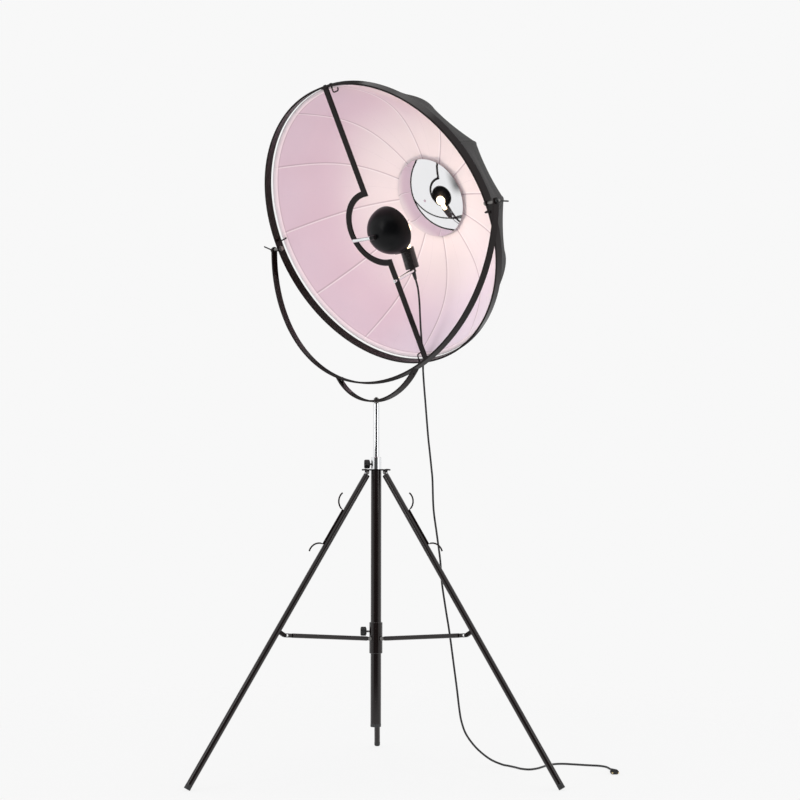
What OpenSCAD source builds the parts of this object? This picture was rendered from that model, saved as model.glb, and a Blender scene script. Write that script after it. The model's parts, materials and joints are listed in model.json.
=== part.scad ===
// Tripod spotlight floor lamp with a fabric umbrella reflector, in millimetres.
// The origin is on the floor under the column, +Z is up, and the back leg points along +Y.
// The head is drawn in its own frame: X along the pivots, Y up the crossbar, Z out of the open face.

/* [Tripod] */
// Length of a leg tube with its foot cap
leg_len = 1088; // [800:1:1500]
// Angle of the legs from upright
leg_splay = 32.7; // [25:0.1:38]
// Distance of a leg's top end from the column axis
leg_top_r = 33.9; // [32:0.1:50]
// Leg tube outside diameter
leg_d = 20; // [16:0.5:24]
// Wall of the leg tube
leg_wall = 1.5; // [1:0.1:3]
// Height of the foot cap along the leg
foot_h = 14; // [8:1:40]
// Flat worn on each foot, measured up from the lowest corner
foot_flat = 0.6; // [0.3:0.1:2]
// Distance of the strut pivot from the top end of the leg
lug_along = 564; // [400:1:620]
// Distance of the strut pivot from the leg's axis
lug_off = 26.5; // [24:0.5:34]
// Strut tube outside diameter
strut_d = 13.5; // [10:0.5:16]
// Wall of the strut tube
strut_wall = 1.5; // [1:0.1:2.5]
// Clearance run of the slot at the strut's outer end
slot_run = 10.4; // [8:0.1:12]

/* [Column] */
// Column tube outside diameter
column_d = 33; // [30:0.5:40]
// Wall of the column tube
column_wall = 3; // [2:0.1:4]
// Length of the column tube
column_len = 784; // [700:1:900]
// Height of the column's end cap
cap_h = 10; // [6:0.5:16]
// Outside diameter of the sliding collar
collar_d = 41; // [39:0.5:50]
// Length of the sliding collar
collar_len = 96; // [60:1:140]
// Drop of each strut from the leg to the collar
strut_drop = 18.9; // [8:0.1:60]
// Strut pivots below the middle of the collar
pivot_drop = 1.9; // [0:0.1:20]
// Height of the lower knob above the strut pivots
knob_rise = 21.5; // [20:0.5:35]

/* [Mast] */
// Mast tube outside diameter
mast_d = 19; // [15:0.5:22]
// Wall of the mast tube
mast_wall = 2.8; // [1.5:0.1:3.5]
// Mast that shows above the spider plate
mast_out = 209; // [100:1:480]
// Mast that is hidden in the column
mast_in = 439; // [300:1:500]
// Outside diameter of the chrome sleeve
sleeve_d = 31; // [30:0.5:36]
// Height of the chrome sleeve above the spider plate
sleeve_h = 38.5; // [34:0.5:60]
// Depth of the sleeve's spigot in the column
sleeve_spigot = 32; // [15:1:60]
// Diameter of the lobed clamp knobs
knob_d = 29; // [24:0.5:36]
// Length of the lobed clamp knobs
knob_len = 19; // [12:0.5:28]
// Clearance between parts that slide or turn
fit_gap = 0.3; // [0.2:0.05:0.4]
// Clearance round plugs that are pressed into tubes
plug_gap = 0.2; // [0.1:0.05:0.3]

/* [Yoke] */
// Gap between the ring and the yoke at the pivots
pivot_gap = 25; // [20:0.5:35]
// Width of the flat bars of yoke and crescent
bar_w = 22; // [16:0.5:26]
// Thickness of the flat bars of yoke and crescent
bar_t = 6; // [4:0.5:8]
// Radius of the crescent bracket's centre line
crescent_r = 213; // [180:1:240]
// Height of the yoke's underside over the crescent's underside
crescent_rise = 59; // [50:1:75]

/* [Reflector] */
// Downward tilt of the head
head_tilt = 29.3; // [0:0.1:45]
// Turn of the pivot line from the X axis
head_turn = 44.7; // [0:0.1:90]
// Radius of the ring's centre line
ring_r = 470; // [420:1:520]
// Radial thickness of the ring
ring_t = 6; // [4:0.5:8]
// Width of the ring
ring_w = 29; // [22:0.5:29]
// Number of gores in the reflector
gores = 12; // [8:1:16]
// Turn of the first seam from the crossbar
seam_turn = -5.5; // [-15:0.1:15]
// Hem of the fabric inside the ring's centre line
hem_gap = 12; // [12:0.5:18]
// Distance of the hem behind the pivot line
hem_back = 24; // [24:0.5:34]
// Depth of the reflector behind the pivot line
dish_depth = 310; // [240:1:330]
// Thickness of the lining and of the cover
cloth_t = 0.8; // [0.6:0.1:1.5]
// Rib rod diameter
rib_d = 4; // [3:0.1:5]
// Inward pull of the cloth between the ribs
gore_dip = 7; // [2:0.5:12]
// Rim radius of the mirror dome
dome_r = 135; // [100:1:150]
// Height of the mirror dome
dome_h = 28; // [22:1:60]

/* [Lamp] */
// Width of the flat crossbar
cross_w = 20; // [18:0.5:26]
// Thickness of the flat crossbar
cross_t = 5; // [3:0.5:7]
// Centre-line radius of the bow in the crossbar
bow_r = 118; // [106:1:134]
// Outside radius of the glare bowl
bowl_r = 80; // [60:1:84]
// Wall of the glare bowl
bowl_wall = 1.5; // [1:0.1:3]
// Diameter of the two chrome rods
rod_d = 13; // [10:0.5:14]
// Diameter of the lamp socket
socket_d = 46; // [36:1:48]
// Length of the lamp socket
socket_len = 68; // [50:1:84]
// Bulb diameter
bulb_d = 60; // [45:1:62]

/* [Cord] */
// Cord diameter
cord_d = 6.5; // [5:0.1:8]
// Diameter of the plug pins
pin_d = 4; // [3.8:0.1:4.2]
// Length of the plug pins
pin_len = 19; // [17:0.5:20]
// Distance between the plug pins
pin_pitch = 18.6; // [17:0.1:20]

/* [Hidden] */
$fn = 96;

// Azimuths of the back, left and right leg
az_a = 90;
az_b = 210;
az_c = 330;
leg_azimuths = [az_a, az_b, az_c];

// Heights worked out from the feet upwards
leg_r = leg_d / 2;
foot_end_z = leg_r * sin(leg_splay) - foot_flat;
leg_top_z = foot_end_z + leg_len * cos(leg_splay);
hub_pin_out = 2.9;
hub_pin_up = 6.2;
hub_r = leg_top_r + hub_pin_out * cos(leg_splay) - hub_pin_up * sin(leg_splay);
hub_z = leg_top_z + hub_pin_out * sin(leg_splay) + hub_pin_up * cos(leg_splay);
plate_t = 3;
plate_z = hub_z + 11.8;
column_top_z = plate_z - plate_t;
column_bottom_z = column_top_z - column_len - cap_h;
column_bore = column_d - 2 * column_wall;

// Pins and the forks round them
pin_r = 2.5;
pin_gap = 0.15;
ear_t = 2.5;
eye_r = 4.2;
hub_eye_t = 8;
strut_eye_t = 5;
strut_eye_r = 5;
tongue_t = 4.6;
tongue_h = 12;
slot_half = 3.6;
lug_ear_r = 6;
bolt_head_r = 6;
bolt_head_t = 3;

// Strut pivots in the plane of a leg: distance from the axis, height
lug_r = leg_top_r + lug_along * sin(leg_splay) - lug_off * cos(leg_splay);
lug_z = leg_top_z - lug_along * cos(leg_splay) - lug_off * sin(leg_splay);
collar_pivot_r = collar_d / 2 + strut_eye_r + 0.5;
collar_pivot_z = lug_z - strut_drop;
strut_run = [lug_r - collar_pivot_r, strut_drop];
strut_len = norm(strut_run);
strut_rise = atan2(strut_run[1], strut_run[0]);
collar_mid_z = collar_pivot_z + pivot_drop;
collar_knob_z = collar_pivot_z + knob_rise;

// Cord hooks in the plane of a leg, as places along and off the leg's axis
hook_rod_d = 5;
hook_off = leg_r + hook_rod_d / 2;
hook_high = [[-139, hook_off], [-122, hook_off + 27], [-95, hook_off + 29]];
hook_low = [[-264, hook_off], [-277, hook_off + 21.5], [-308, hook_off + 28]];

// Mast and sleeve
mast_top_z = plate_z + mast_out;
mast_bottom_z = plate_z - mast_in;
mast_bore = mast_d - 2 * mast_wall;
sleeve_top_z = plate_z + sleeve_h;
guide_len = 40;
knob_hole_r = 3;
stud_grip = 12;
stud_spigot = 14;
mast_knob_z = plate_z + 16.5;
mast_knob_x = sleeve_d / 2 + 3.5;
collar_knob_x = collar_d / 2 + 8.5;

// Yoke, crescent and the stud that they turn on
bush_d = 15;
bush_h = 5;
crescent_bottom_z = mast_top_z + bush_h;
crescent_z = crescent_bottom_z + bar_t / 2 + crescent_r;
yoke_r = ring_r + ring_t / 2 + pivot_gap + bar_t / 2;
head_z = crescent_bottom_z + crescent_rise + bar_t / 2 + yoke_r;
yoke_inner = yoke_r - bar_t / 2;
yoke_outer = yoke_r + bar_t / 2;
// Half of the angle that the crescent spans before the yoke cuts it
crescent_half = 62;
swivel_r = 4;
rivet_angle = 18.6;

// Pivot bolts along the head's X axis
bolt_r = 4;
ring_inner = ring_r - ring_t / 2;
ring_outer = ring_r + ring_t / 2;
ring_front = 11;
ring_back = ring_front - ring_w;
washer_t = 2.5;
spacer_len = yoke_inner - ring_outer - fit_gap;
bolt_end = yoke_outer + 12;
pivot_head_len = 6;
pivot_head_r = 7;
wing_base_r = 8;
wing_base_t = 7;
wing_rod_d = 4.6;
wing_rod_len = 28;
wing_lean = 52;
wing_turn = 150;

// Rib curve: a cubic from the hem to the pole, as [radius, height along the head's Z]
hem_r = ring_r - hem_gap;
rib_start = [hem_r, -hem_back];
rib_lead = 243 * [-0.372, -0.928];
rib_tail = 289;
skin_end = 0.985;
skin_steps = 11;
gore_cells = 4;
seam_gap = 0.15;
rib_lift = cloth_t + fit_gap + rib_d / 2;
cover_lift = cloth_t + fit_gap + rib_d + 1;
rib_hub_r = 38;
rib_hub_t = 2.6;
hoop_d = rib_d - 0.4;
rib_sides = 6;
hub_disc_z = -dish_depth - rib_lift + 0.4;
cover_cap_r = 26;
cover_cap_t = 4;
hub_screw_r = 5;

// Hooks that tie the hem to the ring
hook_count = 4;
hook_turn = -3.5;
tie_r = 2.25;
tie_head_r = 4.5;
tie_head_t = 3;
tie_bend = 6;
tie_in = hem_r - 6;
tie_tip = hem_r - 1.6 - tie_r;

// Dome
dome_sheet = 1.2;
dome_z = -dish_depth + 22;
dome_ball = (dome_r * dome_r + dome_h * dome_h) / (2 * dome_h);

// Crossbar
cross_x = 2;
bow_y = -3;
tab_t = 3;
tab_w = 20;
cross_screw_r = 2.2;

// Lamp
bowl_y = -30;
bowl_z = -61.5;
bowl_rod_lean = 8.5;
bowl_rod_start = [-108, -25, 9.5];
bowl_rod_len = 92.3;
ferrule_r = 8;
ferrule_len = 22;
holder_y = -183;
holder_front = 9;
socket_z = -91;
socket_lean = 6.2;
socket_end = -176;
socket_wall = 2;
socket_cap_d = 19;
cap_len = 14;
socket_floor = 22;
holder_seat = 6;
relief_end = -215;
relief_start = socket_end - cap_len;
bulb_y = -46;

// A place beside the upright socket, once the socket leans about its seat
function from_socket(p) =
    let (y = p[1] - holder_y, z = p[2] - socket_z)
    [p[0], holder_y + y * cos(socket_lean) + z * sin(socket_lean),
        socket_z - y * sin(socket_lean) + z * cos(socket_lean)];

// Cord routes: smooth curves through these points
route_upper_head = [
    from_socket([0, relief_end, socket_z]), from_socket([0, relief_end - 17, socket_z]),
    [-1, -252, -82], [-2, -290, -68.5], [-4, -340, -47],
    [-8, -390, -29], [-14, -430, -20], [-18, -452, -18.6], [-20, -464, -20.9], [-21, -473, -23]
];
route_tail = [155, 190, 1300];
route_tilt = [route_tail, [153, 190, 1282], [156, 189, 1230], [161, 187, 1165], [169, 183, 1060]];
route_turn = [[169.02, 182.99, 1059.8], [174, 180, 1010], [180, 177, 950]];
route_slide = [
    [180, 177, 950], [183, 174, 913], [186, 170, 820], [196, 165, 740], [207, 160, 653],
    [212, 157, 581], [225, 153, 490], [236, 150, 420], [251, 146, 304], [259, 144, 241],
    [266, 142, 180], [273, 140, 140]
];
floor_z = cord_d / 2;
plug_z = 8;
route_floor = [
    [273, 140, 140], [288, 140, 100], [320, 140, 58], [362, 140, 24], [400, 140, 7],
    [422, 130, floor_z], [440, 100, floor_z], [456, 70, floor_z], [480, 56, floor_z],
    [506, 75, floor_z], [525, 105, floor_z], [546, 140, floor_z], [570, 165, floor_z],
    [600, 172, floor_z], [640, 157, floor_z], [680, 140, floor_z], [708, 130, floor_z],
    [727, 108, floor_z], [733, 75, floor_z], [734, 45, 5], [734, 25, plug_z], [734, 12, plug_z]
];
cord_sides = 8;
plug_len = 42;
plug_w = 26;
plug_h = 14;
pin_root = 8;

// Names a frame: along the pivots, up the crossbar, out of the open face
module in_head() {
    translate([0, 0, head_z]) rotate([0, 0, -head_turn]) rotate([90 + head_tilt, 0, 0]) children();
}

// Places what is drawn in the plane y = 0 at the azimuth of a leg
module at_leg(azimuth) {
    rotate([0, 0, azimuth]) children();
}

// A leg's own frame: origin at its top end, Z up its axis, X away from the column
module in_leg(azimuth) {
    at_leg(azimuth) translate([leg_top_r, 0, leg_top_z]) rotate([0, -leg_splay, 0]) children();
}

// A strut's own frame: origin at the collar pivot, X along the strut
module in_strut(azimuth) {
    at_leg(azimuth) translate([collar_pivot_r, 0, collar_pivot_z]) rotate([0, -strut_rise, 0]) children();
}

// Upright tube between two heights
module tube(outer_d, inner_d, low, high) {
    translate([0, 0, low]) difference() {
        cylinder(h = high - low, d = outer_d);
        translate([0, 0, -1]) cylinder(h = high - low + 2, d = inner_d);
    }
}

// Round bar along Y, centred on the plane y = 0
module cross_pin(r, length) {
    rotate([90, 0, 0]) cylinder(h = length, r = r, center = true);
}

// Block of a given width along Y, from one corner to the other in X and Z
module slab(low, high, width) {
    translate([low[0], -width / 2, low[1]]) cube([high[0] - low[0], width, high[1] - low[1]]);
}

// Flat ring that is swept about Z, with the corners of its section rounded
module rounded_ring(inner, outer, low, high, corner) {
    rotate_extrude() polygon([
        [inner, low + corner], [inner + corner, low], [outer - corner, low], [outer, low + corner],
        [outer, high - corner], [outer - corner, high], [inner + corner, high], [inner, high - corner]
    ]);
}

// Centre of the circle through three points of a plane
function circle_of(a, b, c) =
    let (
        u = b - a, v = c - a,
        cross = 2 * (u[0] * v[1] - u[1] * v[0]),
        x = (v[1] * (u * u) - u[1] * (v * v)) / cross,
        y = (u[0] * (v * v) - v[0] * (u * u)) / cross
    ) a + [x, y];

// Points along the arc of a plane from a through b to c
function arc_path(a, b, c, steps) =
    let (
        centre = circle_of(a, b, c),
        start = atan2(a[1] - centre[1], a[0] - centre[0]),
        stop = atan2(c[1] - centre[1], c[0] - centre[0]),
        along = (b[0] - a[0]) * (c[1] - a[1]) - (b[1] - a[1]) * (c[0] - a[0]) > 0 ? 1 : -1,
        sweep = along * (((along * (stop - start)) % 360 + 360) % 360)
    ) [for (i = [0 : steps]) let (t = start + sweep * i / steps)
        centre + norm(a - centre) * [cos(t), sin(t)]];

// Point of a smooth curve through four neighbours, at a share t between the middle two
function smooth_point(p, t) = 0.5 * (
    2 * p[1] + (p[2] - p[0]) * t + (2 * p[0] - 5 * p[1] + 4 * p[2] - p[3]) * t * t
    + (3 * p[1] - p[0] - 3 * p[2] + p[3]) * t * t * t
);

// Smooth curve through all points of a route, with the given number of steps between two
function smooth_route(route, steps) =
    let (last = len(route) - 1, lead = 2 * route[0] - route[1], tail = 2 * route[last] - route[last - 1])
    concat(
        [for (i = [0 : last - 1]) for (s = [0 : steps - 1]) smooth_point([
            i == 0 ? lead : route[i - 1], route[i], route[i + 1], i == last - 1 ? tail : route[i + 2]
        ], s / steps)],
        [route[last]]
    );

function unit(v) = v / norm(v);

// Directions of a path at each of its points; the ends are given or follow the path
function headings(path, first, final) =
    let (last = len(path) - 1)
    [for (i = [0 : last]) unit(
        i == 0 ? (is_undef(first) ? path[1] - path[0] : first)
        : i == last ? (is_undef(final) ? path[last] - path[last - 1] : final)
        : path[i + 1] - path[i - 1]
    )];

// Side vectors that turn as little as possible along the path
function sides_of(ways, start) =
    [for (i = 0, s = unit(start - (start * ways[0]) * ways[0]); i < len(ways);
        i = i + 1, s = i < len(ways) ? unit(s - (s * ways[i]) * ways[i]) : s) s];

// Round rod swept along a path as one closed solid
module swept_rod(path, r, sides, start, first, final) {
    ways = headings(path, first, final);
    side = sides_of(ways, start);
    rings = len(path);
    points = [for (i = [0 : rings - 1]) for (k = [0 : sides - 1])
        path[i] + r * (cos(360 * k / sides) * side[i] + sin(360 * k / sides) * cross(ways[i], side[i]))];
    walls = [for (i = [0 : rings - 2]) for (k = [0 : sides - 1])
        [i * sides + k, (i + 1) * sides + k, (i + 1) * sides + (k + 1) % sides, i * sides + (k + 1) % sides]];
    near = [for (k = [0 : sides - 1]) k];
    far = [for (k = [sides - 1 : -1 : 0]) (rings - 1) * sides + k];
    polyhedron(points, concat(walls, [near, far]), convexity = 10);
}

module cord_rod(path, start, first, final) {
    color("black") swept_rod(path, cord_d / 2, cord_sides, start, first, final);
}

// ---- Tripod ----

module column() {
    color("black") tube(column_d, column_bore, column_bottom_z + cap_h, column_top_z);
}

// Plastic cap with eased edges and a spigot in the column
module column_cap() {
    r = column_d / 2;
    round_r = 1.6;
    color("dimgray") translate([0, 0, column_bottom_z]) {
        rotate_extrude() {
            square([r - round_r, cap_h]);
            translate([0, round_r]) square([r, cap_h - round_r]);
            translate([r - round_r, round_r]) circle(r = round_r);
        }
        cylinder(h = cap_h + 14, d = column_bore - 2 * plug_gap);
    }
}

// Thin plate on the column's top, with a trough, two ears and a curled end over each leg
module spider_plate() {
    arm_w = 20;
    trough_r = 5.5;
    trough_z = plate_z - 0.5;
    end_r = hub_r + 11;
    color("black") difference() {
        union() {
            translate([0, 0, column_top_z]) cylinder(h = plate_t, d = column_d + 12);
            for (a = leg_azimuths) at_leg(a) {
                slab([0, column_top_z], [hub_r - trough_r + 1, plate_z], arm_w);
                translate([hub_r, 0, trough_z]) intersection() {
                    difference() {
                        cross_pin(trough_r, arm_w);
                        cross_pin(trough_r - plate_t, arm_w + 2);
                    }
                    slab([-trough_r, -trough_r], [trough_r, 0], arm_w);
                }
                slab([hub_r + trough_r - 1, column_top_z], [end_r, plate_z], arm_w);
                translate([end_r, 0, plate_z - 2]) cross_pin(2.6, arm_w);
                for (side = [-1, 1])
                    translate([0, side * (hub_eye_t / 2 + fit_gap + ear_t / 2), 0]) {
                        translate([hub_r, 0, hub_z]) cross_pin(4.5, ear_t);
                        slab([hub_r - 4.5, hub_z], [hub_r + 4.5, column_top_z + 0.5], ear_t);
                    }
            }
        }
        translate([0, 0, column_top_z - 30]) cylinder(h = 60, d = column_bore);
        for (a = leg_azimuths) at_leg(a) {
            translate([hub_r, 0, hub_z]) cross_pin(pin_r, 2 * column_d);
            translate([hub_r, 0, trough_z]) cross_pin(trough_r - plate_t, arm_w + 2);
        }
    }
}

// Pins that the leg tops hang from, with a head at each end
module hub_pins() {
    half = hub_eye_t / 2 + fit_gap + ear_t;
    color("dimgray") for (a = leg_azimuths) at_leg(a) translate([hub_r, 0, hub_z]) {
        cross_pin(pin_r, 2 * half);
        for (side = [-1, 1]) translate([0, side * (half + 0.75), 0]) cross_pin(3.8, 1.5);
    }
}

// Plug in the leg's end with a flat eye for the hub pin
module leg_top(azimuth) {
    color("silver") in_leg(azimuth) difference() {
        union() {
            translate([0, 0, -25]) cylinder(h = 25, d = leg_d - 2 * (leg_wall + plug_gap));
            translate([hub_pin_out, 0, hub_pin_up]) cross_pin(eye_r, hub_eye_t);
            slab([hub_pin_out - eye_r, -4], [hub_pin_out + eye_r, hub_pin_up], hub_eye_t);
        }
        translate([hub_pin_out, 0, hub_pin_up]) cross_pin(pin_r + pin_gap, hub_eye_t + 2);
    }
}

module leg_tube(azimuth) {
    color("black") in_leg(azimuth) tube(leg_d, leg_d - 2 * leg_wall, foot_h - leg_len, 0);
}

// Rubber cap on the leg's end, flat where it meets the floor
module foot_cap(azimuth) {
    color("black") intersection() {
        in_leg(azimuth) {
            translate([0, 0, -leg_len]) cylinder(h = foot_h, d = leg_d);
            translate([0, 0, foot_h - leg_len]) cylinder(h = 20, d = leg_d - 2 * (leg_wall + plug_gap));
        }
        cylinder(h = leg_len, r = leg_len);
    }
}

// Two ears on the leg with the riveted pin for the strut
module leg_lug(azimuth) {
    inner = tongue_t / 2 + fit_gap;
    color("black") in_leg(azimuth) translate([0, 0, -lug_along]) difference() {
        union() {
            for (side = [-1, 1]) translate([0, side * (inner + ear_t / 2), 0]) {
                translate([-lug_off, 0, 0]) cross_pin(lug_ear_r, ear_t);
                slab([-lug_off, -lug_ear_r], [0, lug_ear_r], ear_t);
            }
            translate([-lug_off, 0, 0]) {
                cross_pin(pin_r, 2 * (inner + ear_t) + 2);
                for (side = [-1, 1]) translate([0, side * (inner + ear_t + 1), 0]) cross_pin(4.5, 2);
            }
        }
        translate([0, 0, -2 * lug_ear_r]) cylinder(h = 4 * lug_ear_r, d = leg_d);
    }
}

// One bent rod on the outside of a leg: a hook at each end of a straight strip
module cord_hooks(azimuth) {
    steps = 7;
    high = arc_path(hook_high[2], hook_high[1], hook_high[0], steps);
    low = arc_path(hook_low[0], hook_low[1], hook_low[2], steps);
    path = [for (p = concat(high, low)) [p[1], 0, p[0]]];
    color("black") in_leg(azimuth) swept_rod(path, hook_rod_d / 2, 10, [0, 1, 0]);
}

// Strut tube with an eye at the collar and a slotted tongue at the leg
module strut(azimuth) {
    tube_start = strut_eye_r + 1.5;
    tube_end = strut_len - slot_run - 16;
    tongue_in = 12;
    color("black") in_strut(azimuth) difference() {
        union() {
            cross_pin(strut_eye_r, strut_eye_t);
            slab([0, -strut_eye_r + 0.5], [tube_start + tongue_in, strut_eye_r - 0.5], strut_eye_t);
            translate([tube_start, 0, 0]) rotate([0, 90, 0]) difference() {
                cylinder(h = tube_end - tube_start, d = strut_d);
                translate([0, 0, tongue_in]) cylinder(
                    h = tube_end - tube_start - 2 * tongue_in, d = strut_d - 2 * strut_wall);
            }
            slab([tube_end - tongue_in, -tongue_h / 2], [strut_len, tongue_h / 2], tongue_t);
            translate([strut_len, 0, 0]) intersection() {
                cross_pin(tongue_h / 2, tongue_t);
                slab([0, -tongue_h / 2], [slot_half + 2, tongue_h / 2], tongue_t);
            }
        }
        cross_pin(pin_r + pin_gap, 2 * strut_d);
        slab([strut_len - slot_run, -slot_half], [strut_len, slot_half], 2 * strut_d);
        for (u = [strut_len - slot_run, strut_len]) translate([u, 0, 0]) cross_pin(slot_half, 2 * strut_d);
    }
}

// Sliding collar with two ears at each leg
module collar() {
    half = collar_len / 2;
    gap = strut_eye_t / 2 + fit_gap;
    color("black") difference() {
        union() {
            translate([0, 0, collar_mid_z])
                rounded_ring(column_d / 2 + fit_gap, collar_d / 2, -half, half, 1.5);
            for (a = leg_azimuths) at_leg(a) for (side = [-1, 1])
                translate([0, side * (gap + ear_t / 2), 0]) {
                    translate([collar_pivot_r, 0, collar_pivot_z]) cross_pin(strut_eye_r, ear_t);
                    slab([column_d / 2 + 2, collar_pivot_z - strut_eye_r],
                        [collar_pivot_r, collar_pivot_z + strut_eye_r], ear_t);
                }
        }
        for (a = leg_azimuths) at_leg(a)
            translate([collar_pivot_r, 0, collar_pivot_z]) cross_pin(pin_r, collar_d);
        translate([0, 0, collar_knob_z]) rotate([0, -90, 0]) cylinder(h = collar_d, r = knob_hole_r + 0.1);
    }
}

// Bolts that the struts turn on
module collar_bolts() {
    half = strut_eye_t / 2 + fit_gap + ear_t;
    color("dimgray") for (a = leg_azimuths) at_leg(a) translate([collar_pivot_r, 0, collar_pivot_z]) {
        cross_pin(pin_r, 2 * half);
        for (side = [-1, 1])
            translate([0, side * (half + bolt_head_t / 2), 0]) cross_pin(bolt_head_r, bolt_head_t);
    }
}

// Lobed knob from z = 0 up, with its rim drawn in and a blind hole for the stud
module lobed_knob() {
    lobes = 7;
    lobe_r = 4;
    ease = 3;
    r = knob_d / 2;
    difference() {
        intersection() {
            union() {
                cylinder(h = knob_len, r = r - 2);
                for (k = [0 : lobes - 1]) rotate([0, 0, 360 * k / lobes])
                    translate([r - lobe_r, 0, 0]) cylinder(h = knob_len, r = lobe_r, $fn = 48);
            }
            rotate_extrude() polygon([
                [0, 0], [r - 2 * ease, 0], [r, ease], [r, knob_len - ease],
                [r - ease, knob_len], [0, knob_len]
            ]);
        }
        translate([0, 0, -1]) cylinder(h = stud_grip + 1, r = knob_hole_r);
    }
}

// Frame of a knob: Z along -X at a given height
module at_knob(z) {
    translate([0, 0, z]) rotate([0, -90, 0]) children();
}

module mast_knob() {
    color("black") at_knob(mast_knob_z) translate([0, 0, mast_knob_x]) lobed_knob();
}

module mast_stud() {
    start = mast_d / 2 + fit_gap;
    color("silver") at_knob(mast_knob_z) translate([0, 0, start])
        cylinder(h = mast_knob_x + stud_grip - start, r = knob_hole_r);
}

module collar_knob() {
    color("black") at_knob(collar_knob_z) translate([0, 0, collar_knob_x]) lobed_knob();
}

module collar_stud() {
    start = column_d / 2 + fit_gap;
    color("silver") at_knob(collar_knob_z) translate([0, 0, start])
        cylinder(h = collar_knob_x + stud_grip - start, r = knob_hole_r);
}

// Chrome sleeve over the spider plate, with a spigot in the column
module sleeve() {
    bore_r = mast_d / 2 + fit_gap;
    spigot_r = column_bore / 2 - 0.1;
    r = sleeve_d / 2;
    ease = 1.5;
    color("silver") difference() {
        rotate_extrude() polygon([
            [bore_r, plate_z - sleeve_spigot], [spigot_r, plate_z - sleeve_spigot], [spigot_r, plate_z],
            [r, plate_z], [r, sleeve_top_z - ease], [r - ease, sleeve_top_z], [bore_r, sleeve_top_z]
        ]);
        at_knob(mast_knob_z) cylinder(h = sleeve_d, r = knob_hole_r + 0.1);
    }
}

module mast() {
    color("silver") tube(mast_d, mast_bore, mast_bottom_z, mast_top_z);
}

// Plastic bush on the mast's foot that runs in the column
module mast_guide() {
    color("white") tube(column_bore - 2 * fit_gap, mast_d, mast_bottom_z, mast_bottom_z + guide_len);
}

// Stud in the mast's top: spigot, bush, shank through the crescent and nut
module swivel_stud() {
    nut_z = crescent_bottom_z + bar_t + 0.1;
    nut_t = 6;
    color("dimgray") {
        translate([0, 0, mast_top_z - stud_spigot])
            cylinder(h = stud_spigot + 0.1, d = mast_bore - 2 * fit_gap);
        translate([0, 0, mast_top_z + 0.1]) cylinder(h = bush_h - 0.1, d = bush_d);
        translate([0, 0, mast_top_z - 1]) cylinder(h = bush_h + bar_t + nut_t + 4, r = swivel_r);
        translate([0, 0, nut_z]) cylinder(h = nut_t, r = 8, $fn = 6);
    }
}

// ---- Yoke ----

// Frame of the yoke: X along the pivots, Y up, about the middle of the head
module in_yoke() {
    translate([0, 0, head_z]) rotate([0, 0, -head_turn]) rotate([90, 0, 0]) children();
}

// Lower half of a flat ring in the XY plane
module half_hoop(r, half_angle) {
    rotate([0, 0, 270 - half_angle]) rotate_extrude(angle = 2 * half_angle, $fn = 180)
        translate([r - bar_t / 2, -bar_w / 2]) square([bar_t, bar_w]);
}

// Half hoop with a rounded tip and a bore at each pivot
module yoke() {
    color("black") in_yoke() difference() {
        union() {
            half_hoop(yoke_r, 90);
            for (side = [-1, 1]) translate([side * yoke_r, 0, 0])
                rotate([0, 90, 0]) cylinder(h = bar_t, d = bar_w, center = true);
        }
        rotate([0, 90, 0]) cylinder(h = 3 * yoke_r, r = bolt_r + 0.2, center = true);
        for (side = [-1, 1]) at_rivet(side) cylinder(h = 4 * bar_t, r = pin_r, center = true);
    }
}

// Frame on the yoke's underside where the crescent is riveted on, Z pointing out
module at_rivet(side) {
    rotate([0, 0, side * rivet_angle]) translate([0, -yoke_r, 0]) rotate([90, 0, 0]) children();
}

// Bracket from the swivel stud up to the yoke's underside
module crescent() {
    color("black") in_yoke() difference() {
        translate([0, crescent_z - head_z, 0]) half_hoop(crescent_r, crescent_half);
        cylinder(h = 2 * bar_w, r = yoke_outer + 0.05, center = true, $fn = 180);
        for (side = [-1, 1]) at_rivet(side) cylinder(h = 8 * bar_t, r = pin_r, center = true);
        translate([0, crescent_z - head_z - crescent_r, 0]) rotate([90, 0, 0])
            cylinder(h = 4 * bar_t, r = swivel_r + 0.1, center = true);
    }
}

// Rivets through yoke and crescent, heads on the inside
module yoke_rivets() {
    shank = bar_t + 8;
    color("silver") in_yoke() for (side = [-1, 1]) at_rivet(side) {
        translate([0, 0, -bar_t / 2 - 1]) cylinder(h = shank, r = pin_r - 0.05);
        translate([0, 0, -bar_t / 2 - 2.1]) cylinder(h = 2, r = 4.5);
    }
}

// ---- Ring and umbrella ----

// Angle in the head's XY plane of a turn from the crossbar's top towards the left pivot
function head_angle(turn) = 90 + turn;

// Turns of the hem hooks round the ring
hook_turns = [for (k = [0 : hook_count - 1]) hook_turn + 360 * k / hook_count];

module ring() {
    color("black") in_head() difference() {
        rounded_ring(ring_inner, ring_outer, ring_back, ring_front, 1, $fn = 180);
        rotate([0, 90, 0]) cylinder(h = 3 * ring_r, r = bolt_r + 0.05, center = true);
        for (turn = hook_turns) rotate([0, 0, head_angle(turn)]) translate([ring_r, 0, 0])
            rotate([0, 90, 0]) cylinder(h = 3 * ring_t, r = tie_r + 0.1, center = true);
        translate([cross_x, 0, 0]) rotate([90, 0, 0])
            cylinder(h = 3 * ring_r, r = cross_screw_r + 0.1, center = true);
    }
}

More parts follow.
